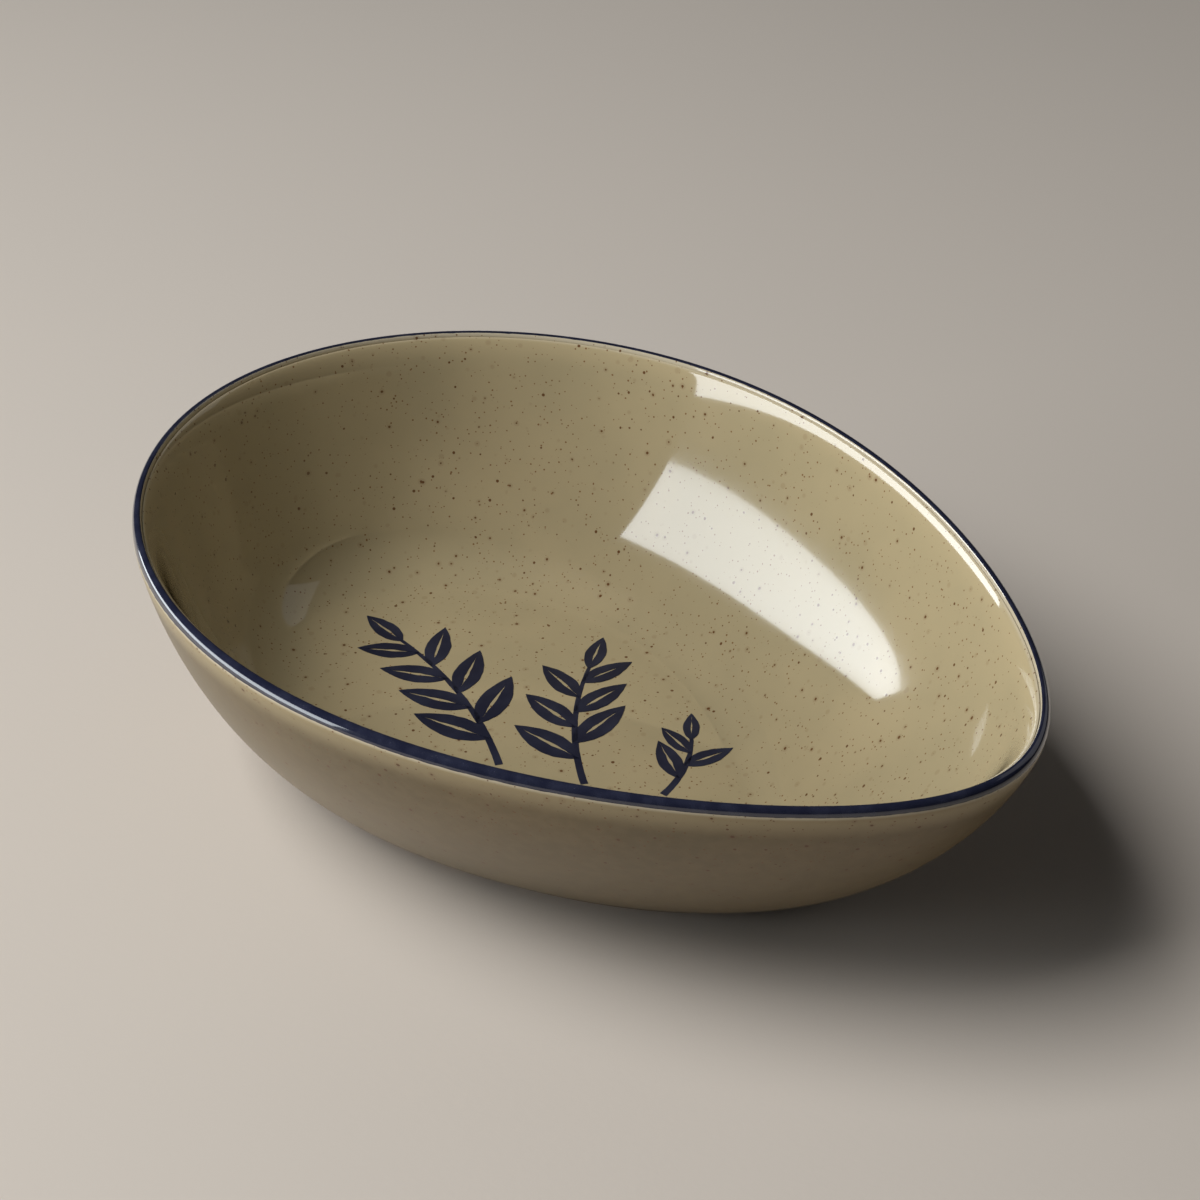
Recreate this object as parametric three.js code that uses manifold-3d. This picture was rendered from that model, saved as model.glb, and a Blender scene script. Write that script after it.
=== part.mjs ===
// A drop-shaped stoneware serving bowl: a fired clay shell on a low foot ring, glazed inside, outside and
// underneath, with a navy band over its lip and a printed spray of leaves on its floor.
// Millimetres, +Z up. The origin lies on the table under the middle of the bowl, and the tip points to +X.

import * as THREE from "three";
import { mergeVertices } from "three/addons/utils/BufferGeometryUtils.js";
import Module from "manifold-3d";

// Finished sizes over the glaze
const LENGTH = 200;
const WIDTH = 142.6;
const HEIGHT = 58.4;

// The plan is an ellipse that is drawn out to a tip: how much narrower the tip's half is, and both ends
const TIP_TAPER = 0.173;
const END_PINCH = 0.108;

// Lower edge of the wall, just over the foot ring
const BASE_LENGTH = 138.2;
const BASE_WIDTH = 82.8;
const BASE_SHIFT = -16.4;

// Foot ring, and the hollow inside it under the floor
const FOOT_HEIGHT = 2;
const FOOT_SETBACK = 1.6;
const FOOT_RING = 5;
const FOOT_EDGE = 0.6;
const FOOT_DRAFT = 1;
const UNDERSIDE_RISE = 2.4;

// Wall and floor. The wall flares along a curve, with its handles as shares of the wall's spread and height
const WALL = 4.8;
const FLOOR = 5.2;
const FLOOR_RADIUS = 16;
const FLARE_LOW = new THREE.Vector2(0.84, 0.459);
const FLARE_HIGH = new THREE.Vector2(1, 0.989);

// Rounded lip, and how far the navy band runs past its crown to the inside
const LIP_WIDTH = 3;
const LIP_RISE = 1.2;
const BAND_OVER = 0.4;

// Thickness of the fired coats, and the air under the print
const GLAZE = 0.4;
const PRINT = 0.15;
const PRINT_SEAT = 0.01;

// The print: three sprigs, with leaves on alternate sides of a bowed stem, smaller along it. The foot of a
// sprig is placed by shares of the base's half length and half width, and its size is a share of the leaf's
const LEAF_LENGTH = 18.5;
const LEAF_WIDTH = 7;
const LEAF_BELLY = 0.4;
const LEAF_PITCH = 5.6;
const LEAF_SPREAD = 44;
const LEAF_LAST = 0.7;
const VEIN_WIDTH = 0.9;
const VEIN_FOOT = 3.5;
const VEIN_TIP = 2.5;
const STEM_WIDTH = 1.6;
const STEM_BARE = 9;
const PRINT_MARGIN = 2.8;
const LEAF_MARGIN = 1.2;
const SPRIGS = [
  { name: "print_sprig_left", along: 0.08, across: -0.34, turn: 160, bow: -6, size: 1 },
  { name: "print_sprig_middle", along: 0.325, across: -0.17, turn: 131, bow: 5, size: 0.95 },
  { name: "print_sprig_right", along: 0.525, across: 0.025, turn: 113, bow: -3, size: 0.7 },
];

// Steps of the facets
const COLUMNS = 56;
const WALL_STEPS = 8;
const CROWN_STEPS = 3;
const LIP_STEPS = 3;
const INNER_STEPS = 6;
const CORNER_STEPS = 4;
const LEAF_STEPS = 5;
const STEM_STEPS = 8;
const SOLVE_STEPS = 40;

const RIM_Z = HEIGHT - LIP_RISE;
const FLOOR_Z = UNDERSIDE_RISE + FLOOR;
const ANGLES = Array.from({ length: COLUMNS }, (_, column) => (2 * Math.PI * column) / COLUMNS);

// Plan

function bulge(angle) {
  const along = Math.cos(angle);
  return Math.sin(angle) * (1 - TIP_TAPER * along - END_PINCH * along ** 2);
}

const WIDEST = Math.max(...ANGLES.map(bulge));

function outline(length, width, shift, angle) {
  return new THREE.Vector2(shift + (length / 2) * Math.cos(angle), ((width / 2) * bulge(angle)) / WIDEST);
}

function base(angle) {
  return outline(BASE_LENGTH, BASE_WIDTH, BASE_SHIFT, angle);
}

function rim(angle) {
  return outline(LENGTH, WIDTH, 0, angle);
}

// A level ring that keeps a constant distance inside the wall's lower edge
function footRing(inset, z) {
  const step = 1e-4;
  return ANGLES.map((angle) => {
    const along = base(angle + step).sub(base(angle - step)).normalize();
    const at = base(angle).add(new THREE.Vector2(-along.y, along.x).multiplyScalar(inset));
    return new THREE.Vector3(at.x, at.y, z);
  });
}

// Wall. Every column of it lies in one upright plane, from a point on the base out to a point on the rim

function column(angle) {
  const foot = base(angle);
  const run = rim(angle).sub(foot);
  const spread = run.length();
  const rise = RIM_Z - FOOT_HEIGHT;
  const curve = new THREE.CubicBezierCurve(
    new THREE.Vector2(0, FOOT_HEIGHT),
    new THREE.Vector2(spread * FLARE_LOW.x, FOOT_HEIGHT + rise * FLARE_LOW.y),
    new THREE.Vector2(spread * FLARE_HIGH.x, FOOT_HEIGHT + rise * FLARE_HIGH.y),
    new THREE.Vector2(spread, RIM_Z),
  );
  return { foot, outward: run.normalize(), spread, curve };
}

const WALL_COLUMNS = ANGLES.map(column);

function place({ foot, outward }, { x: distance, y: z }) {
  return new THREE.Vector3(foot.x + distance * outward.x, foot.y + distance * outward.y, z);
}

// The wall thins from the base to the lip
function thickness(u) {
  return WALL + (LIP_WIDTH - WALL) * u ** 3;
}

// A point at a given depth under the finished outside of the wall
function under({ curve }, u, depth) {
  const along = curve.getTangent(u);
  return curve.getPoint(u).add(new THREE.Vector2(-along.y, along.x).multiplyScalar(depth));
}

// The round corner where wall and floor meet: its centre, and the place on the wall where it starts
function corner(wall) {
  let low = 0;
  let high = 1;
  for (let step = 0; step < SOLVE_STEPS; step += 1) {
    const u = (low + high) / 2;
    const centre = under(wall, u, thickness(u) + FLOOR_RADIUS);
    if (centre.y < FLOOR_Z + FLOOR_RADIUS) low = u;
    else high = u;
  }
  const centre = under(wall, low, thickness(low) + FLOOR_RADIUS);
  const start = under(wall, low, thickness(low)).sub(centre).angle() - 2 * Math.PI;
  return { u: low, centre, start };
}

const CORNERS = WALL_COLUMNS.map(corner);

// Rings of the clay, from the middle of the underside out, up, over the lip and in to the middle of the floor

function ringOnWall(profile) {
  return WALL_COLUMNS.map((wall, index) => place(wall, profile(wall, CORNERS[index])));
}

function wallRing(u) {
  return ringOnWall((wall) => under(wall, u, GLAZE));
}

function lipRing(angle) {
  const half = LIP_WIDTH / 2;
  const inset = half - (half - GLAZE) * Math.cos(angle);
  const z = RIM_Z + (LIP_RISE - GLAZE) * Math.sin(angle);
  return ringOnWall(({ spread }) => new THREE.Vector2(spread - inset, z));
}

function innerRing(share) {
  return ringOnWall((wall, { u: lowest }) => {
    const u = THREE.MathUtils.lerp(1, lowest, share);
    return under(wall, u, thickness(u) - GLAZE);
  });
}

function cornerRing(share) {
  const radius = FLOOR_RADIUS + GLAZE;
  return ringOnWall((wall, { centre, start }) => {
    const angle = THREE.MathUtils.lerp(start, -Math.PI / 2, share);
    return new THREE.Vector2(radius * Math.cos(angle), radius * Math.sin(angle)).add(centre);
  });
}

function steps(count, ring) {
  return Array.from({ length: count }, (_, index) => ring((index + 1) / count));
}

const UNDERSIDE_Z = UNDERSIDE_RISE + GLAZE;
const BAND_END = Math.acos(-BAND_OVER / (LIP_WIDTH / 2));

const underside = [
  [new THREE.Vector3(BASE_SHIFT, 0, UNDERSIDE_Z)],
  footRing(FOOT_SETBACK + FOOT_RING + FOOT_DRAFT, UNDERSIDE_Z),
];
const foot = [
  footRing(FOOT_SETBACK + FOOT_RING, FOOT_EDGE),
  footRing(FOOT_SETBACK + FOOT_RING - FOOT_EDGE, 0),
  footRing(FOOT_SETBACK + FOOT_EDGE, 0),
  footRing(FOOT_SETBACK, FOOT_EDGE),
  footRing(FOOT_SETBACK, FOOT_HEIGHT + GLAZE),
];
const outside = [wallRing(0), ...steps(WALL_STEPS, wallRing)];
const band = [...steps(CROWN_STEPS, (share) => lipRing((Math.PI / 2) * share)), lipRing(BAND_END)];
const inside = [
  ...steps(LIP_STEPS, (share) => lipRing(THREE.MathUtils.lerp(BAND_END, Math.PI, share))),
  ...steps(INNER_STEPS, innerRing),
  ...steps(CORNER_STEPS, cornerRing),
  [new THREE.Vector3(BASE_SHIFT, 0, FLOOR_Z - GLAZE)],
];
const clay = [...underside, ...foot, ...outside, ...band, ...inside];

const UNDERSIDE_END = underside.length - 1;
const OUTSIDE_START = underside.length + foot.length;
const BAND_START = OUTSIDE_START + outside.length - 1;
const INSIDE_START = BAND_START + band.length;
const INSIDE_END = clay.length - 1;

// Solids

// Triangles between two neighbouring rings, either of which may be a single point
function strip(from, to) {
  const faces = [];
  for (let here = 0; here < COLUMNS; here += 1) {
    const next = (here + 1) % COLUMNS;
    if (from.length > 1) faces.push([from[here], from[next], to[next] ?? to[0]]);
    if (to.length > 1) faces.push([from[here] ?? from[0], to[next], to[here]]);
  }
  return faces;
}

function strips(rings) {
  return rings.slice(1).flatMap((ring, index) => strip(rings[index], ring));
}

function turned(faces) {
  return faces.map(([a, b, c]) => [a, c, b]);
}

function skin(faces) {
  const geometry = mergeVertices(new THREE.BufferGeometry().setFromPoints(faces.flat()));
  geometry.computeVertexNormals();
  return geometry;
}

// A ring of the clay lifted off its surface by the thickness of a coat
function lifted(index) {
  const ring = clay[index];
  if (ring.length === 1) {
    const up = index === 0 ? -1 : 1;
    return [ring[0].clone().add(new THREE.Vector3(0, 0, up * GLAZE))];
  }
  const before = clay[index - 1];
  const after = clay[index + 1];
  return ring.map((point, here) => {
    const around = ring[(here + 1) % COLUMNS].clone().sub(ring.at(here - 1));
    const along = (after[here] ?? after[0]).clone().sub(before[here] ?? before[0]);
    return point.clone().add(around.cross(along).setLength(GLAZE));
  });
}

// A coat of glaze over the clay from one of its rings to another
function coat(first, last) {
  const under = clay.slice(first, last + 1);
  const over = under.map((_, index) => lifted(first + index));
  const faces = [...strips(over), ...turned(strips(under))];
  if (under[0].length > 1) faces.push(...turned(strip(over[0], under[0])));
  if (under.at(-1).length > 1) faces.push(...strip(over.at(-1), under.at(-1)));
  return skin(faces);
}

const wasm = await Module();
wasm.setup();

function solid(geometry) {
  geometry.deleteAttribute("normal");
  geometry.deleteAttribute("uv");
  const merged = mergeVertices(geometry);
  const vertProperties = new Float32Array(merged.attributes.position.array);
  const triVerts = new Uint32Array(merged.index.array);
  return new wasm.Manifold(new wasm.Mesh({ numProp: 3, vertProperties, triVerts }));
}

function geometryOf(manifold) {
  const mesh = manifold.getMesh();
  const geometry = new THREE.BufferGeometry();
  geometry.setAttribute("position", new THREE.BufferAttribute(mesh.vertProperties, 3));
  geometry.setIndex(new THREE.BufferAttribute(mesh.triVerts, 1));
  geometry.computeVertexNormals();
  return geometry;
}

// Print

// A pointed leaf with an open slit for its vein. It grows along +X, and its foot is tucked under the stem
function leaf() {
  const belly = LEAF_LENGTH * LEAF_BELLY;
  const shape = new THREE.Shape();
  shape.moveTo(0, 0);
  shape.quadraticCurveTo(belly, -LEAF_WIDTH, LEAF_LENGTH, 0);
  shape.quadraticCurveTo(belly, LEAF_WIDTH, 0, 0);
  const vein = new THREE.Path();
  vein.moveTo(VEIN_FOOT, 0);
  vein.lineTo(belly, VEIN_WIDTH / 2);
  vein.lineTo(LEAF_LENGTH - VEIN_TIP, 0);
  vein.lineTo(belly, -VEIN_WIDTH / 2);
  shape.holes.push(vein);
  const flat = { depth: PRINT, bevelEnabled: false, curveSegments: LEAF_STEPS };
  return new THREE.ExtrudeGeometry(shape, flat).translate(-STEM_WIDTH / 2, 0, 0);
}

// A stem that thins to half its width
function stem(curve) {
  const left = [];
  const right = [];
  for (let step = 0; step <= STEM_STEPS; step += 1) {
    const u = step / STEM_STEPS;
    const along = curve.getTangent(u);
    const half = new THREE.Vector2(-along.y, along.x).multiplyScalar((STEM_WIDTH / 2) * (1 - u / 2));
    left.unshift(curve.getPoint(u).add(half));
    right.push(curve.getPoint(u).sub(half));
  }
  const shape = new THREE.Shape([...right, ...left]);
  return new THREE.ExtrudeGeometry(shape, { depth: PRINT, bevelEnabled: false });
}

// A fence round the flat of the floor
function floorFence() {
  const edge = lifted(INSIDE_END - 1).map(({ x, y }) => new THREE.Vector2(x, y));
  const block = new THREE.ExtrudeGeometry(new THREE.Shape(edge), { depth: 2 * PRINT, bevelEnabled: false });
  return new THREE.Mesh(block, new THREE.MeshBasicMaterial({ side: THREE.BackSide }));
}

const fence = floorFence();

// How far the flat of the floor goes on from a point on it, along a heading
function room({ x, y }, heading) {
  const towards = new THREE.Vector3(Math.cos(heading), Math.sin(heading), 0);
  return new THREE.Raycaster(new THREE.Vector3(x, y, PRINT), towards).intersectObject(fence)[0].distance;
}

// The share of its full size at which a leaf keeps its tip and both its sides on the flat of the floor
function fitting(at, heading) {
  const belly = new THREE.Vector2(LEAF_LENGTH * LEAF_BELLY, LEAF_WIDTH / 2);
  const reaches = [
    [0, LEAF_LENGTH],
    [belly.angle(), belly.length()],
    [-belly.angle(), belly.length()],
  ];
  return Math.min(...reaches.map(([turn, reach]) => (room(at, heading + turn) - LEAF_MARGIN) / reach));
}

// A sprig that grows from its foot along a heading, and ends short of the round corner with a single leaf
function sprig(foot, heading, bow, size) {
  const stalk = room(foot, heading) - PRINT_MARGIN - LEAF_LENGTH * LEAF_LAST * size;
  const bare = STEM_BARE * size;
  const towards = new THREE.Vector2(Math.cos(heading), Math.sin(heading));
  const across = new THREE.Vector2(-towards.y, towards.x);
  const middle = foot.clone().addScaledVector(towards, stalk / 2).addScaledVector(across, bow);
  const curve = new THREE.QuadraticBezierCurve(foot, middle, foot.clone().addScaledVector(towards, stalk));
  const spread = THREE.MathUtils.degToRad(LEAF_SPREAD);
  const last = Math.round((stalk - bare) / (LEAF_PITCH * size));
  let whole = solid(stem(curve));
  for (let count = 0; count <= last; count += 1) {
    const u = THREE.MathUtils.lerp(bare / stalk, 1, count / last);
    const at = curve.getPoint(u);
    const side = count < last ? spread * (-1) ** count : 0;
    const points = curve.getTangent(u).angle() + side;
    const scale = Math.min(size * THREE.MathUtils.lerp(1, LEAF_LAST, count / last), fitting(at, points));
    const grown = leaf().scale(scale, scale, 1).rotateZ(points);
    whole = whole.add(solid(grown.translate(at.x, at.y, 0)));
  }
  return whole;
}

// Materials

const stoneware = new THREE.MeshStandardMaterial({ color: "#8a745a", roughness: 0.85, metalness: 0 });
const insideGlaze = new THREE.MeshStandardMaterial({ color: "#ada07c", roughness: 0.15, metalness: 0 });
const outsideGlaze = new THREE.MeshStandardMaterial({ color: "#9a8a6a", roughness: 0.18, metalness: 0 });
const undersideGlaze = new THREE.MeshStandardMaterial({ color: "#a39472", roughness: 0.2, metalness: 0 });
const navyGlaze = new THREE.MeshStandardMaterial({ color: "#1d2140", roughness: 0.18, metalness: 0 });
const navyPrint = new THREE.MeshStandardMaterial({ color: "#1a1f45", roughness: 0.25, metalness: 0 });

// Bowl

const bowl = new THREE.Group();

function add(name, geometry, material) {
  const mesh = new THREE.Mesh(geometry, material.clone());
  mesh.name = name;
  bowl.add(mesh);
  return mesh;
}

add("stoneware_body", skin(strips(clay)), stoneware);
add("underside_glaze", coat(0, UNDERSIDE_END), undersideGlaze);
add("outer_glaze", coat(OUTSIDE_START, BAND_START), outsideGlaze);
add("rim_band", coat(BAND_START, INSIDE_START), navyGlaze);
add("inner_glaze", coat(INSIDE_START, INSIDE_END), insideGlaze);
for (const { name, along, across, turn, bow, size } of SPRIGS) {
  const foot = new THREE.Vector2(BASE_SHIFT + (along * BASE_LENGTH) / 2, (across * BASE_WIDTH) / 2);
  const whole = sprig(foot, THREE.MathUtils.degToRad(turn), bow, size);
  const print = add(name, geometryOf(whole), navyPrint);
  print.position.z = FLOOR_Z + PRINT_SEAT;
}

export default bowl;
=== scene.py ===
"""A drop-shaped stoneware serving bowl with speckled tan glaze, a navy rim band and a leafy print inside.

Metres, +Z up. The origin lies on the table under the middle of the bowl, and the narrow tip points to +X.
"""

import math

import bmesh
import bpy
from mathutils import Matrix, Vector, noise
from mathutils.bvhtree import BVHTree
from mathutils.geometry import intersect_line_line_2d


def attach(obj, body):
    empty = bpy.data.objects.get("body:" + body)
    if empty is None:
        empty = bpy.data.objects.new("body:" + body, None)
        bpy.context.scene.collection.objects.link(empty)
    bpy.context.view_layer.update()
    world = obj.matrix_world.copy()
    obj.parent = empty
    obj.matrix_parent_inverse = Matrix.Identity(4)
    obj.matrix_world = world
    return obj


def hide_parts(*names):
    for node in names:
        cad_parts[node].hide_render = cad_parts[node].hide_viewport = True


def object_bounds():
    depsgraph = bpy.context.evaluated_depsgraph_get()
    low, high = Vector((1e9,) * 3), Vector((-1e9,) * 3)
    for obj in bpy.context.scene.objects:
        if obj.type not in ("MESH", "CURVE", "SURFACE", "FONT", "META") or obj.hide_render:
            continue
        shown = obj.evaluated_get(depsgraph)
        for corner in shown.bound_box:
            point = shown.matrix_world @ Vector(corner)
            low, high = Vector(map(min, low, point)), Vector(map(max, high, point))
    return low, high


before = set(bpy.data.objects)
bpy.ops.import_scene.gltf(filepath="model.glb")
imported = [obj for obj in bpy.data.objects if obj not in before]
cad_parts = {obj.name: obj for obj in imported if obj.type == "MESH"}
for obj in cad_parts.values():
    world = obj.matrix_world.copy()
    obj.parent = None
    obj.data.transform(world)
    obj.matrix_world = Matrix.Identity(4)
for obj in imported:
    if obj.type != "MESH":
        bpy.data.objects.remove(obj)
cad_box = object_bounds()

# Clay shell
# The bowl itself is one lump of stoneware clay, pressed in a drop-shaped mould and trimmed on its foot ring.
# It is fired bare only on that ring, which stands on the kiln shelf. The rest of it lies under the coats.

MM = 0.001
COLUMNS = 256
WELD = 1e-7
NUDGE = 1e-4
SHARP = math.radians(40)
GLAZE = 0.4 * MM

# The rim and the base are both drops in plan, and the base sits back from the tip.
LENGTH = 2 * min(cad_box[1].x, -cad_box[0].x)
WIDTH = 142.6 * MM
HEIGHT = cad_box[1].z - cad_box[0].z
TIP_TAPER = 0.173
END_PINCH = 0.108
BASE_LENGTH = 138.2 * MM
BASE_WIDTH = 82.8 * MM
BASE_SHIFT = -16.4 * MM

# The foot ring is set back under the wall. The bottom of the bowl lies between the underside and the floor.
FOOT_HEIGHT = 2 * MM
FOOT_SETBACK = 1.6 * MM
FOOT_RING = 5 * MM
FOOT_EDGE = 0.6 * MM
FOOT_DRAFT = 1 * MM
UNDERSIDE_Z = 2.4 * MM
FLOOR_Z = 7.6 * MM
FLOOR_RADIUS = 16 * MM

# The wall flares on one curve and thins to the lip. Above FLARE_Z its inside opens more towards both ends.
WALL = 4.8 * MM
LIP_WIDTH = 3 * MM
LIP_RISE = 1.2 * MM
RIM_Z = HEIGHT - LIP_RISE
FLARE_LOW = Vector((0.84, 0.459))
FLARE_HIGH = Vector((1, 0.989))
FLARE_Z = 50 * MM
END_FLARE = 0.75 * MM
END_FOCUS = 5

# Below FLARE_Z the wall is thicker towards the tip, most from FILL_Z down, so the inside is rounder there.
TIP_FILL = 7 * MM
FILL_Z = 10 * MM
FILL_BACK = 0.3

# The outer side of the lip leaves the wall's curve and rolls over to the crown.
SHOULDER_START = 0.85
SHOULDER_RISE = 1.8 * MM
SHOULDER_TOP = 1.45 * MM
CROWN_SHARE = 0.72


def bulge(turn):
    along = math.cos(turn)
    return math.sin(turn) * (1 - TIP_TAPER * along - END_PINCH * along**2)


TURNS = [2 * math.pi * count / COLUMNS for count in range(COLUMNS)]
WIDEST = max(bulge(turn) for turn in TURNS)


def drop(length, width, shift, turn):
    """A point of a drop's outline, which is round at the back and narrows to the tip."""
    return Vector((shift + length / 2 * math.cos(turn), width / 2 * bulge(turn) / WIDEST))


def on_curve(handles, u, depth):
    """A point of a curve between four handles, at a depth to the left of it, and its heading there."""
    a, b, c, d = handles
    at = a * (1 - u) ** 3 + b * 3 * u * (1 - u) ** 2 + c * 3 * u**2 * (1 - u) + d * u**3
    along = ((b - a) * (1 - u) ** 2 + (c - b) * 2 * u * (1 - u) + (d - c) * u**2).normalized()
    return at + Vector((-along.y, along.x)) * depth, along


class WallColumn:
    """One upright cut through the wall, from a point of the base straight out to a point of the rim.

    Its stretches are the outside, the shoulder, the brim, the inside, the corner and the floor.
    A share runs from 0 to 1 along each of them, and a depth goes into the clay.
    """

    def __init__(self, turn, tip_fill):
        self.flare = END_FLARE * (1 - abs(math.sin(turn)) ** END_FOCUS)
        towards_tip = math.cos(turn) - math.cos(turn) ** 3 / 4
        self.fill = tip_fill * max(0, (towards_tip + FILL_BACK) / (1 + FILL_BACK)) ** 2
        self.foot = drop(BASE_LENGTH, BASE_WIDTH, BASE_SHIFT, turn)
        run = drop(LENGTH, WIDTH, 0, turn) - self.foot
        self.spread = run.length
        self.outward = run.normalized()
        along = drop(BASE_LENGTH, BASE_WIDTH, BASE_SHIFT, turn + NUDGE) - self.foot
        self.inward = Vector((-along.y, along.x)).normalized()
        rise = RIM_Z - FOOT_HEIGHT
        self.handles = (
            Vector((0, FOOT_HEIGHT)),
            Vector((self.spread * FLARE_LOW.x, FOOT_HEIGHT + rise * FLARE_LOW.y)),
            Vector((self.spread * FLARE_HIGH.x, FOOT_HEIGHT + rise * FLARE_HIGH.y)),
            Vector((self.spread, RIM_Z)),
        )
        start, along = on_curve(self.handles, SHOULDER_START, 0)
        self.lip_width = LIP_WIDTH - self.flare
        crown = Vector((self.spread - CROWN_SHARE * self.lip_width, HEIGHT))
        top = crown + Vector((SHOULDER_TOP, 0))
        self.shoulder_handles = (start, start + along * SHOULDER_RISE, top, crown)
        self.corner_start, self.corner_centre = self.find_corner()

    def place(self, at):
        return Vector((*(self.foot + self.outward * at.x), at.y))

    def under(self, u, depth):
        return on_curve(self.handles, u, depth)[0]

    def thickness(self, u):
        z = self.under(u, 0).y
        flared = max(0, (z - FLARE_Z) / (RIM_Z - FLARE_Z))
        sunk = min(1, max(0, (FLARE_Z - z) / (FLARE_Z - FILL_Z)))
        filled = (1 - math.cos(math.pi * sunk)) / 2
        return WALL + (LIP_WIDTH - WALL) * u**3 - self.flare * flared**2 + self.fill * filled

    def find_corner(self):
        """Where the inner wall runs into the round corner over the floor, and the corner's centre."""
        low, high = 0, 1
        for _ in range(40):
            u = (low + high) / 2
            if self.under(u, self.thickness(u) + FLOOR_RADIUS).y < FLOOR_Z + FLOOR_RADIUS:
                low = u
            else:
                high = u
        return low, self.under(low, self.thickness(low) + FLOOR_RADIUS)

    def foot_ring(self, inset, z):
        return Vector((*(self.foot + self.inward * inset), z))

    def outside(self, share, depth):
        return self.place(self.under(SHOULDER_START * share, depth))

    def shoulder(self, share, depth):
        return self.place(on_curve(self.shoulder_handles, share, depth)[0])

    def brim(self, share, depth):
        angle = share * math.pi / 2
        half = (1 - CROWN_SHARE) * self.lip_width
        reach = self.spread - self.lip_width + half - (half - depth) * math.sin(angle)
        return self.place(Vector((reach, RIM_Z + (LIP_RISE - depth) * math.cos(angle))))

    def inside(self, share, depth):
        u = 1 + (self.corner_start - 1) * share
        return self.place(self.under(u, self.thickness(u) - depth))

    def corner(self, share, depth):
        start = self.under(self.corner_start, self.thickness(self.corner_start)) - self.corner_centre
        first = math.atan2(start.y, start.x)
        angle = first + (-math.pi / 2 - first) * share
        radius = FLOOR_RADIUS + depth
        return self.place(self.corner_centre + Vector((math.cos(angle), math.sin(angle))) * radius)

    def floor(self, share, depth):
        return self.corner(1, depth).lerp(Vector((BASE_SHIFT, 0, FLOOR_Z - depth)), share)


columns = [WallColumn(turn, TIP_FILL) for turn in TURNS]


def shares(steps):
    return [step / steps for step in range(steps + 1)]


def stretch(cut, depth, steps, first=0, last=1):
    """Rings at even steps along one stretch of the columns, each a rule for its point on a column."""
    spans = [first + (last - first) * share for share in shares(steps)]
    return [lambda column, span=span: cut(column, span, depth) for span in spans]


def wrapped(rings):
    """A sheet of quads round the bowl, welded where it meets itself, with a row of corners on each ring."""
    sheet = bmesh.new()
    rows = len(rings) - 1
    bmesh.ops.create_grid(sheet, x_segments=COLUMNS, y_segments=rows, size=0.5)
    for corner in sheet.verts:
        column = columns[round((corner.co.x + 0.5) * COLUMNS) % COLUMNS]
        corner.co = rings[round((corner.co.y + 0.5) * rows)](column)
    bmesh.ops.remove_doubles(sheet, verts=sheet.verts[:], dist=WELD)
    return sheet


def piece(name, sheet, finish, slot, *nodes):
    """A finished mesh as a piece of the bowl that stands for its solids."""
    for face in sheet.faces:
        face.smooth = True
    for edge in sheet.edges:
        edge.smooth = edge.calc_face_angle(0) < SHARP
    mesh = bpy.data.meshes.new(name)
    sheet.to_mesh(mesh)
    sheet.free()
    mesh.materials.append(finish)
    made = bpy.data.objects.new(name, mesh)
    bpy.context.scene.collection.objects.link(made)
    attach(made, "root")
    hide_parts(*nodes)
    return made


class Wire:
    """A socket that takes part in sums: an expression on wires adds its Math nodes."""

    def __init__(self, finish, socket):
        self.finish = finish
        self.socket = socket

    def sum(self, operation, first, second):
        return self.finish.node("ShaderNodeMath", {"operation": operation}, {0: first, 1: second})

    def __add__(self, other):
        return self.sum("ADD", self, other)

    def __radd__(self, other):
        return self.sum("ADD", other, self)

    def __sub__(self, other):
        return self.sum("SUBTRACT", self, other)

    def __rsub__(self, other):
        return self.sum("SUBTRACT", other, self)

    def __mul__(self, other):
        return self.sum("MULTIPLY", self, other)

    def __rmul__(self, other):
        return self.sum("MULTIPLY", other, self)

    def __gt__(self, other):
        return self.sum("GREATER_THAN", self, other)


class Finish:
    """A procedural material on the object's own coordinates."""

    def __init__(self, name):
        self.material = bpy.data.materials.new(name)
        self.material.use_nodes = True
        self.tree = self.material.node_tree
        self.tree.nodes.clear()
        self.place = self.node("ShaderNodeTexCoord", output="Object")

    def node(self, kind, settings=None, inputs=None, output=0):
        """The wire that leaves a new node, with its sockets filled by values or by other wires."""
        made = self.tree.nodes.new(kind)
        for name, value in (settings or {}).items():
            setattr(made, name, value)
        for name, value in (inputs or {}).items():
            if isinstance(value, Wire):
                self.tree.links.new(value.socket, made.inputs[name])
            else:
                made.inputs[name].default_value = value
        return Wire(self, made.outputs[output]) if made.outputs else None

    def grain(self, size, detail=2):
        inputs = {"Vector": self.place, "Scale": 1 / size, "Detail": detail}
        return self.node("ShaderNodeTexNoise", {"noise_dimensions": "3D"}, inputs)

    def ramp(self, value, low, high):
        settings = {"interpolation_type": "SMOOTHSTEP"}
        return self.node("ShaderNodeMapRange", settings, {0: value, 1: low, 2: high})

    def blend(self, mask, under, over):
        return self.node("ShaderNodeMix", {"data_type": "RGBA"}, {0: mask, 6: under, 7: over}, 2)

    def bump(self, height, depth):
        return self.node("ShaderNodeBump", None, {"Height": height, "Strength": 1, "Distance": depth})

    def surface(self, colour, roughness, normal, **constants):
        inputs = {"Base Color": colour, "Roughness": roughness, "Normal": normal, **constants}
        shader = self.node("ShaderNodeBsdfPrincipled", None, inputs)
        self.node("ShaderNodeOutputMaterial", None, {"Surface": shader})
        return self.material


CLAY_DARK = (0.19, 0.12, 0.068, 1)
CLAY_LIGHT = (0.31, 0.215, 0.13, 1)
CLAY_GRIT = (0.075, 0.045, 0.026, 1)
CLAY_CLOUD = 11 * MM
CLAY_GRAIN = 0.45 * MM
CLAY_PITS = 0.06 * MM


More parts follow.
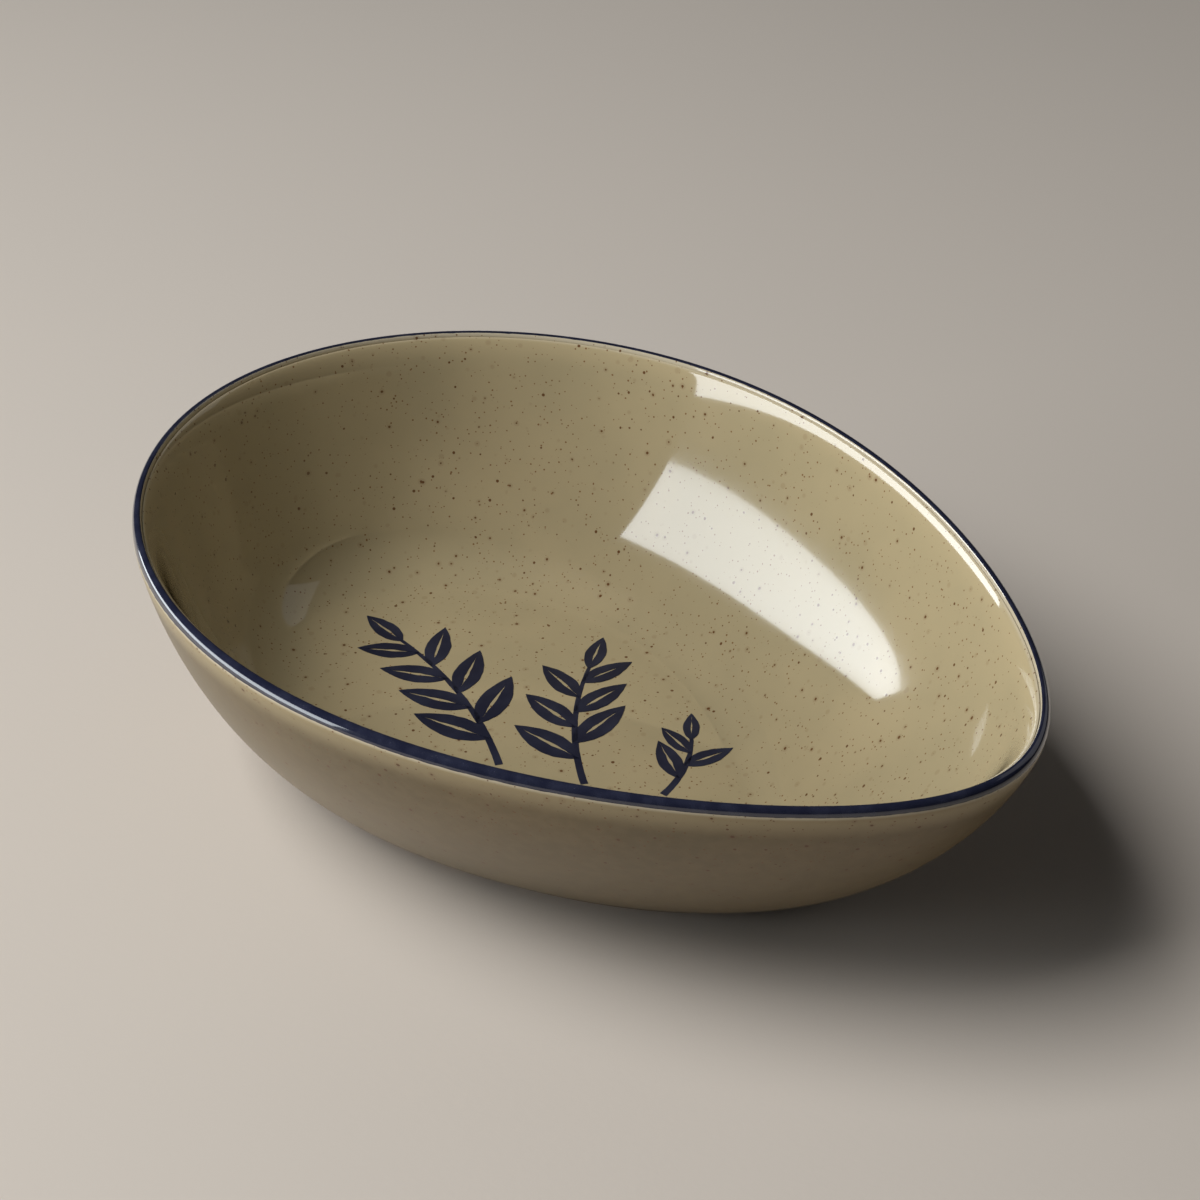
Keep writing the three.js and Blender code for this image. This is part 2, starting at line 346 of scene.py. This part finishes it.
def bare_clay():
    finish = Finish("bare_stoneware")
    cloud = finish.grain(CLAY_CLOUD, 4)
    grit = finish.grain(CLAY_GRAIN, 3)
    colour = finish.blend(finish.ramp(cloud, 0.35, 0.65), CLAY_DARK, CLAY_LIGHT)
    colour = finish.blend(finish.ramp(grit, 0.6, 0.72) * 0.7, colour, CLAY_GRIT)
    return finish.surface(colour, 0.72 + grit * 0.2, finish.bump(grit, CLAY_PITS))


def rounded(share, inset, z, side):
    """A point of the foot ring's rounded lower edge: how far it is set in, and its height."""
    angle = share * math.pi / 2
    return inset + side * FOOT_EDGE * math.sin(angle), z - FOOT_EDGE * math.cos(angle)


COVERED = GLAZE + 0.02 * MM
FOOT_INNER = FOOT_SETBACK + FOOT_RING
UNDERSIDE_INSET = FOOT_INNER + FOOT_DRAFT
UNDERSIDE_SPAN = 8 * FOOT_DRAFT
foot_profile = [
    (UNDERSIDE_INSET + UNDERSIDE_SPAN, UNDERSIDE_Z + COVERED),
    (UNDERSIDE_INSET, UNDERSIDE_Z + COVERED),
]
foot_profile += [rounded(1 - share, FOOT_INNER - FOOT_EDGE, FOOT_EDGE, 1) for share in shares(6)]
foot_profile += [rounded(share, FOOT_SETBACK + FOOT_EDGE, FOOT_EDGE, -1) for share in shares(6)]
foot_profile += [(FOOT_SETBACK, FOOT_HEIGHT + COVERED)]

clay_rings = [lambda column: Vector((BASE_SHIFT, 0, UNDERSIDE_Z + COVERED))]
clay_rings += [lambda column, at=at: column.foot_ring(*at) for at in foot_profile]
clay_rings += stretch(WallColumn.outside, COVERED, 24)
clay_rings += stretch(WallColumn.shoulder, COVERED, 8)[1:]
clay_rings += stretch(WallColumn.brim, COVERED, 6)[1:]
clay_rings += stretch(WallColumn.inside, COVERED, 24)[1:]
clay_rings += stretch(WallColumn.corner, COVERED, 10)[1:]
clay_rings += [lambda column: Vector((BASE_SHIFT, 0, FLOOR_Z - COVERED))]
piece("clay_shell", wrapped(clay_rings), bare_clay(), "bare_stoneware", "stoneware_body")

# Outer glaze
# The tan glaze that the bowl is dipped in, on the outside of the wall. Iron grains in it melt to brown
# specks in the kiln. It is wiped off just above the foot ring, where it ends in a soft rolled edge.

# The same tan glaze as inside, with its tan and olive darkened to about two fifths: painted shade for the
# outside of the wall.
SHADED_OUTER_TAN = (0.168, 0.119, 0.055, 1)
SHADED_OUTER_OLIVE = (0.146, 0.106, 0.05, 1)
RIM_PALE = (0.55, 0.485, 0.36, 1)
RIM_GOLD = (0.46, 0.37, 0.215, 1)
IRON = (0.11, 0.038, 0.01, 1)
RUST = (0.17, 0.07, 0.02, 1)
NAVY = (0.0125, 0.0145, 0.032, 1)
CLOUD = 34 * MM
MOTTLE = 2.6 * MM
WANDER = 1.1 * MM
WANDER_REACH = 0.25 * MM
RIPPLE_LENGTH = 3.2 * MM
RIPPLE = 0.0035 * MM
EDGE_WAVE = 2.2 * MM
EDGE_WAVER = 0.3 * MM
GOLD_DRIFT = 1.5 * MM
OUTER_ROUGH = 0.28
THIN_GLAZE = {"IOR": 1.4}
THICK_GLAZE = {"IOR": 1.5, "Coat Weight": 1, "Coat Roughness": 0.03, "Coat IOR": 1.5}

# How strongly each layer of the glaze covers the ones before it.
MOTTLE_STRENGTH = 0.08
GOLD_STRENGTH = 0.6
PALE_STRENGTH = 0.85
FLECK_STRENGTH = 0.85
STAIN_STRENGTH = 0.16
SPECK_STRENGTH = 0.9

# Each kind of spot: the size of its cells, its radius, and the share of the cells that hold one.
SPECK = (2.2 * MM, 0.34 * MM, 0.62)
STAIN = (2.2 * MM, 0.75 * MM, 0.3)
FLECK = (1.05 * MM, 0.2 * MM, 0.75)
SPOT_LEAST = 0.55
SPOT_RANGE = 0.75
SPOT_SOFTNESS = 0.4


def spots(finish, place, cell, radius, share):
    """Soft round spots of uneven size in a share of the cells of a honeycomb."""
    inputs = {"Vector": place, "Scale": 1 / cell}
    away = finish.node("ShaderNodeTexVoronoi", None, inputs, "Distance")
    cast = finish.node("ShaderNodeTexVoronoi", None, inputs, "Color")
    lot = finish.node("ShaderNodeSeparateColor", None, {0: cast}, "Red")
    size = finish.node("ShaderNodeSeparateColor", None, {0: cast}, "Green")
    edge = radius / cell * (SPOT_LEAST + size * SPOT_RANGE)
    spot = finish.ramp(edge - away, 0, SPOT_SOFTNESS * radius / cell)
    return spot * (lot > 1 - share)


def speckled_glaze(name, tan, olive, pale_z, gold_z, navy_z, rough, gloss):
    """The tan glaze with its spots. It turns to gold, to a pale line and to navy between given heights."""
    finish = Finish(name)
    height = finish.node("ShaderNodeSeparateXYZ", None, {0: finish.place}, "Z")
    wander = finish.node(
        "ShaderNodeTexNoise",
        None,
        {"Vector": finish.place, "Scale": 1 / WANDER},
        "Color",
    )
    shaken = finish.node(
        "ShaderNodeVectorMath",
        {"operation": "MULTIPLY_ADD"},
        {0: wander, 1: (WANDER_REACH,) * 3, 2: finish.place},
    )
    cloud = finish.grain(CLOUD, 3)
    mottle = finish.grain(MOTTLE, 4)
    speck = spots(finish, shaken, *SPECK)
    stain = spots(finish, shaken, *STAIN)
    fleck = spots(finish, shaken, *FLECK)
    colour = finish.blend(finish.ramp(cloud, 0.34, 0.66), tan, olive)
    colour = finish.blend(finish.ramp(mottle, 0.3, 0.75) * MOTTLE_STRENGTH, colour, RIM_GOLD)
    gold = finish.ramp(height + cloud * GOLD_DRIFT, *gold_z)
    colour = finish.blend(gold * GOLD_STRENGTH, colour, RIM_GOLD)
    colour = finish.blend(finish.ramp(height, *pale_z) * PALE_STRENGTH, colour, RIM_PALE)
    colour = finish.blend(fleck * FLECK_STRENGTH, colour, RUST)
    colour = finish.blend(stain * STAIN_STRENGTH, colour, RUST)
    colour = finish.blend(speck * SPECK_STRENGTH, colour, IRON)
    edge = height + (finish.grain(EDGE_WAVE, 3) - 0.5) * EDGE_WAVER
    colour = finish.blend(finish.ramp(edge, *navy_z), colour, NAVY)
    roughness = rough + mottle * 0.04
    normal = finish.bump(finish.grain(RIPPLE_LENGTH, 2), RIPPLE)
    return finish.surface(colour, roughness, normal, **gloss)


def coat(rings):
    """A coat of glaze: a sheet along its face, thickened towards the clay."""
    sheet = wrapped(rings)
    bmesh.ops.solidify(sheet, geom=sheet.faces[:], thickness=GLAZE)
    return sheet


ROLL = 0.004
ROLL_DEPTH = 0.9 * GLAZE
BAND_FOOT = 0.38
BAND_FOOT_Z = columns[0].shoulder(BAND_FOOT, 0).z


def rolled(share):
    """The rolled lower edge of the coat: how far up the wall, and how deep under the glaze's face."""
    angle = share * math.pi / 2
    return ROLL * (1 - math.cos(angle)), ROLL_DEPTH * (1 - math.sin(angle))


outer_rings = [lambda column, at=rolled(share): column.outside(*at) for share in shares(5)]
outer_rings += stretch(WallColumn.outside, 0, 44, ROLL, 1)[1:]
outer_rings += stretch(WallColumn.shoulder, 0, 8, 0, BAND_FOOT)[1:]
outer_finish = speckled_glaze(
    "outer_glaze",
    SHADED_OUTER_TAN,
    SHADED_OUTER_OLIVE,
    pale_z=(BAND_FOOT_Z - 0.9 * MM, BAND_FOOT_Z - 0.1 * MM),
    gold_z=(BAND_FOOT_Z - 6 * MM, BAND_FOOT_Z - 0.5 * MM),
    navy_z=(BAND_FOOT_Z - 0.16 * MM, BAND_FOOT_Z - 0.06 * MM),
    rough=OUTER_ROUGH,
    gloss=THIN_GLAZE,
)
piece("outer_coat", coat(outer_rings), outer_finish, "outer_glaze", "outer_glaze")

# Underside glaze
# The same glaze, poured on to the hollow of the underside inside the foot ring. It is thin there and dries
# with a rolled edge where it was sponged off the ring.

UNDERSIDE_MIDDLE = Vector((BASE_SHIFT, 0, UNDERSIDE_Z))


def sponged(share):
    """The rolled edge of the coat: how far it is set in from the base's outline, and its height."""
    angle = share * math.pi / 2
    inset = UNDERSIDE_INSET + GLAZE * (1 - math.cos(angle))
    return inset, UNDERSIDE_Z + ROLL_DEPTH * (1 - math.sin(angle))


underside_rings = [
    lambda column, share=share: UNDERSIDE_MIDDLE.lerp(column.foot_ring(*sponged(1)), share)
    for share in shares(10)
]
underside_rings += [lambda column, at=sponged(1 - share): column.foot_ring(*at) for share in shares(5)[1:]]
# It takes the outer coat's darkened colours, painted shade as on the outside of the wall.
underside_finish = speckled_glaze(
    "underside_glaze",
    SHADED_OUTER_TAN,
    SHADED_OUTER_OLIVE,
    pale_z=(RIM_Z, HEIGHT),
    gold_z=(RIM_Z, HEIGHT),
    navy_z=(HEIGHT, HEIGHT + MM),
    rough=OUTER_ROUGH,
    gloss=THIN_GLAZE,
)
piece("underside_coat", coat(underside_rings), underside_finish, "underside_glaze", "underside_glaze")

# Navy band
# A line of navy glaze that a painter runs over the lip with a brush while the bowl turns on a wheel.
# Its colour varies with the stroke of the brush, and its edges run into the tan glaze.

NAVY_THIN = (0.023, 0.026, 0.049, 1)
BAND_OVER = 0.36
BAND_STROKE = 3 * MM
NAVY_GRAIN = 0.6 * MM
NAVY_RIPPLE_LENGTH = 2.4 * MM
BAND_ROUGH = 0.08


def navy_glaze(name, stroke, rough, gloss):
    finish = Finish(name)
    brushed = finish.grain(stroke, 4)
    fine = finish.grain(NAVY_GRAIN, 3)
    colour = finish.blend(finish.ramp(brushed, 0.35, 0.75), NAVY, NAVY_THIN)
    colour = finish.blend(finish.ramp(fine, 0.62, 0.8) * 0.35, colour, NAVY_THIN)
    roughness = rough + brushed * 0.08
    normal = finish.bump(finish.grain(NAVY_RIPPLE_LENGTH, 2), RIPPLE)
    return finish.surface(colour, roughness, normal, **gloss)


band_rings = stretch(WallColumn.shoulder, 0, 14, BAND_FOOT, 1)
band_rings += stretch(WallColumn.brim, 0, 4, 0, BAND_OVER)[1:]
band_finish = navy_glaze("navy_band", BAND_STROKE, BAND_ROUGH, THICK_GLAZE)
piece("navy_band", coat(band_rings), band_finish, "navy_band", "rim_band")

# Inner glaze
# The tan glaze poured into the bowl and out again. It has run smooth and glossy over the wall and the floor,
# and thins below the lip, where it breaks to gold and then to a pale line beside the navy.

INNER_TAN = (0.43, 0.352, 0.206, 1)
INNER_OLIVE = (0.385, 0.32, 0.188, 1)
INNER_ROUGH = 0.05

inner_rings = stretch(WallColumn.brim, 0, 10, BAND_OVER, 1)
inner_rings += stretch(WallColumn.inside, 0, 52)[1:]
inner_rings += stretch(WallColumn.corner, 0, 24)[1:]
inner_rings += stretch(WallColumn.floor, 0, 14)[1:]
inner_finish = speckled_glaze(
    "inner_glaze",
    INNER_TAN,
    INNER_OLIVE,
    pale_z=(RIM_Z - 0.3 * MM, RIM_Z + 0.6 * MM),
    gold_z=(RIM_Z - 4.5 * MM, RIM_Z - 0.3 * MM),
    navy_z=(HEIGHT - 0.22 * MM, HEIGHT - 0.14 * MM),
    rough=INNER_ROUGH,
    gloss=THICK_GLAZE,
)
inner_sheet = coat(inner_rings)
inner_surface = BVHTree.FromBMesh(inner_sheet)
piece("inner_coat", inner_sheet, inner_finish, "inner_glaze", "inner_glaze")

# Printed sprigs
# Three leafy sprigs in navy on the floor, cut by hand as a lino block is and fired on as a thin transfer.
# Leaves grow on alternate sides of a bowed stem, each with an open slit for its vein.

PRINT = 0.05 * MM
PRINT_SEAT = 0.01 * MM
PRINT_STROKE = 6 * MM
PRINT_ROUGH = 0.35
LEAF_LENGTH = 18.5 * MM
LEAF_WIDTH = 7 * MM
LEAF_BELLY = 0.4
LEAF_PITCH = 5.6 * MM
LEAF_SPREAD = math.radians(44)
LEAF_LAST = 0.7
VEIN_WIDTH = 0.9 * MM
VEIN_FOOT = 3.5 * MM
VEIN_TIP = 2.5 * MM
STEM_WIDTH = 1.6 * MM
STEM_BARE = 9 * MM
PRINT_MARGIN = 2.8 * MM
LEAF_MARGIN = 1.2 * MM
CUT_WAVER = 0.16 * MM
LEAF_WAVE = 1.7 * MM
STEM_WAVE = 2 * MM

# Each sprig: its node, its foot along and across the base, its heading in degrees, its bow, and its size.
SPRIGS = (
    ("print_sprig_left", 0.08, -0.34, 160, -6 * MM, 1),
    ("print_sprig_middle", 0.325, -0.17, 131, 5 * MM, 0.95),
    ("print_sprig_right", 0.525, 0.025, 113, -3 * MM, 0.7),
)

# The sprigs are laid out on the flat of the floor as it would be under a wall that isn't thicker at the tip.
floor_edge = [WallColumn(turn, 0).corner(1, 0).xy for turn in TURNS]
floor_sides = list(zip(floor_edge, floor_edge[1:] + floor_edge[:1]))


def heading_of(turn):
    return Vector((math.cos(turn), math.sin(turn)))


def room(at, turn):
    """How far the flat of the floor goes on from a point on it."""
    far = at + heading_of(turn) * LENGTH
    hits = [intersect_line_line_2d(at, far, a, b) for a, b in floor_sides]
    return min((hit - at).length for hit in hits if hit)


def fitting(at, turn):
    """The share of its full size at which a leaf keeps its tip and both its sides on the floor's flat."""
    belly = Vector((LEAF_LENGTH * LEAF_BELLY, LEAF_WIDTH / 2))
    lean = math.atan2(belly.y, belly.x)
    reaches = ((0, LEAF_LENGTH), (lean, belly.length), (-lean, belly.length))
    return min((room(at, turn + off) - LEAF_MARGIN) / reach for off, reach in reaches)


def blade(sheet, at, turn, size, side):
    """Half of a leaf, from the slit along its middle to its edge, with the waver of a hand-held cutter."""
    along_leaf = heading_of(turn)
    across_leaf = Vector((-along_leaf.y, along_leaf.x)) * side
    belly = LEAF_LENGTH * LEAF_BELLY
    for corner in bmesh.ops.create_grid(sheet, x_segments=26, y_segments=3, size=0.5)["verts"]:
        s = corner.co.x + 0.5
        out = corner.co.y + 0.5
        x = 2 * s * (1 - s) * belly + s * s * LEAF_LENGTH
        edge = 2 * s * (1 - s) * LEAF_WIDTH
        opened = (x - VEIN_FOOT) / (belly - VEIN_FOOT)
        closed = (LEAF_LENGTH - VEIN_TIP - x) / (LEAF_LENGTH - VEIN_TIP - belly)
        slit = max(0, min(opened, closed)) * VEIN_WIDTH / 2
        y = slit + (edge - slit) * out
        flat = at + along_leaf * (x - STEM_WIDTH / 2) * size + across_leaf * y * size
        waver = noise.noise(Vector((flat.x, flat.y, side)) / LEAF_WAVE) * CUT_WAVER
        flat += across_leaf * waver * min(1, edge / LEAF_WIDTH * 3)
        corner.co = Vector((*flat, 0))


def bowed(foot, middle, end, u):
    """A point of a bowed stem and the way it runs there."""
    at = foot * (1 - u) ** 2 + middle * 2 * u * (1 - u) + end * u**2
    return at, (middle - foot) * (1 - u) + (end - middle) * u


def stem(sheet, foot, middle, end):
    for corner in bmesh.ops.create_grid(sheet, x_segments=30, y_segments=2, size=0.5)["verts"]:
        u = corner.co.x + 0.5
        at, along_stem = bowed(foot, middle, end, u)
        along_stem.normalize()
        waver = noise.noise(Vector((at.x, at.y, corner.co.y)) / STEM_WAVE) * CUT_WAVER
        half = STEM_WIDTH * (1 - u / 2) + waver
        flat = at + Vector((-along_stem.y, along_stem.x)) * half * corner.co.y
        corner.co = Vector((*flat, 0))


def sprig(along, across, degrees, bow, size):
    sheet = bmesh.new()
    turn = math.radians(degrees)
    foot = Vector((BASE_SHIFT + along * BASE_LENGTH / 2, across * BASE_WIDTH / 2))
    stalk = room(foot, turn) - PRINT_MARGIN - LEAF_LENGTH * LEAF_LAST * size
    bare = STEM_BARE * size
    towards = heading_of(turn)
    end = foot + towards * stalk
    middle = foot + towards * stalk / 2 + Vector((-towards.y, towards.x)) * bow
    stem(sheet, foot, middle, end)
    last = round((stalk - bare) / (LEAF_PITCH * size))
    for count in range(last + 1):
        u = bare / stalk + (1 - bare / stalk) * count / last
        at, along_stem = bowed(foot, middle, end, u)
        lean = 0 if count == last else LEAF_SPREAD * (-1) ** count
        points = math.atan2(along_stem.y, along_stem.x) + lean
        grown = min(size * (1 + (LEAF_LAST - 1) * count / last), fitting(at, points))
        for side in (1, -1):
            blade(sheet, at, points, grown, side)
    bmesh.ops.remove_doubles(sheet, verts=sheet.verts[:], dist=WELD)
    bmesh.ops.recalc_face_normals(sheet, faces=sheet.faces[:])
    return sheet


print_finish = navy_glaze("navy_print", PRINT_STROKE, PRINT_ROUGH, THIN_GLAZE)
for name, *shape in SPRIGS:
    leaves = sprig(*shape)
    bmesh.ops.solidify(leaves, geom=leaves.faces[:], thickness=PRINT)
    for corner in leaves.verts:
        below = inner_surface.ray_cast(Vector((*corner.co.xy, HEIGHT)), Vector((0, 0, -1)))[0]
        corner.co.z += below.z + PRINT_SEAT + PRINT
    piece(name.replace("print_", "printed_"), leaves, print_finish, "navy_print", name)

# Table
# A plain pale table top in warm grey, much larger than the bowl. It fills the picture and takes the shadow.

TABLE_WARM = (0.645, 0.582, 0.515, 1)
TABLE_COOL = (0.615, 0.56, 0.498, 1)
TABLE_HALF = 3
TABLE_CLOUD = 160 * MM
TABLE_GRAIN = 1.5 * MM
TABLE_PITS = 0.02 * MM

top = bmesh.new()
bmesh.ops.create_grid(top, x_segments=1, y_segments=1, size=TABLE_HALF)
table_mesh = bpy.data.meshes.new("table")
top.to_mesh(table_mesh)
top.free()
table = bpy.data.objects.new("table", table_mesh)
bpy.context.scene.collection.objects.link(table)
table_finish = Finish("table")
table_cloud = table_finish.grain(TABLE_CLOUD, 3)
table_mesh.materials.append(
    table_finish.surface(
        table_finish.blend(table_cloud, TABLE_WARM, TABLE_COOL),
        0.62 + table_cloud * 0.1,
        table_finish.bump(table_finish.grain(TABLE_GRAIN, 3), TABLE_PITS),
    )
)

# Studio
# A long low softbox to the left of the camera, a softbox high on the left that the glaze doesn't mirror,
# a weak one behind to lift the shadow, and a dim room round them.

WHITE = (1, 1, 1)
COOL = (0.91, 0.965, 1)
ROOM_COLOUR = (0.95, 0.97, 1, 1)
ROOM_STRENGTH = 0.012

studio = bpy.context.scene


def softbox(name, centre, aim, width, height, power, tint):
    lamp = bpy.data.lights.new(name, "AREA")
    lamp.shape = "RECTANGLE"
    lamp.size = width
    lamp.size_y = height
    lamp.energy = power
    lamp.color = tint
    made = bpy.data.objects.new(name, lamp)
    made.location = centre
    made.rotation_euler = (Vector(aim) - Vector(centre)).to_track_quat("-Z", "Y").to_euler()
    studio.collection.objects.link(made)
    return made


softbox(
    "low_softbox",
    centre=(-1.85, -0.827, 0.385),
    aim=(-1.4274, 0.0793, 0.385),
    width=2.856,
    height=0.65,
    power=31.2,
    tint=COOL,
)
high = softbox(
    "high_softbox",
    centre=(-0.318, -0.523, 0.912),
    aim=(0, 0, 0),
    width=0.6,
    height=0.6,
    power=10.8,
    tint=WHITE,
)
high.visible_glossy = False
softbox(
    "fill_softbox",
    centre=(0.276, 1.029, 0.746),
    aim=(0, 0, 0),
    width=0.9,
    height=0.9,
    power=0.7,
    tint=WHITE,
)

room_light = bpy.data.worlds.new("room")
room_light.use_nodes = True
background = room_light.node_tree.nodes["Background"]
background.inputs["Color"].default_value = ROOM_COLOUR
background.inputs["Strength"].default_value = ROOM_STRENGTH
studio.world = room_light
studio.view_settings.view_transform = "Standard"

# Camera
# It stands off the bowl's long side and looks down on it, as in the photograph.

lens = bpy.data.cameras.new("camera")
lens.sensor_width = 36
lens.lens = 72
camera = bpy.data.objects.new("camera", lens)
camera.location = (0.2585, -0.281, 0.3124)
camera.rotation_euler = (math.radians(55.1), 0, math.radians(42.18))
studio.collection.objects.link(camera)
studio.camera = camera
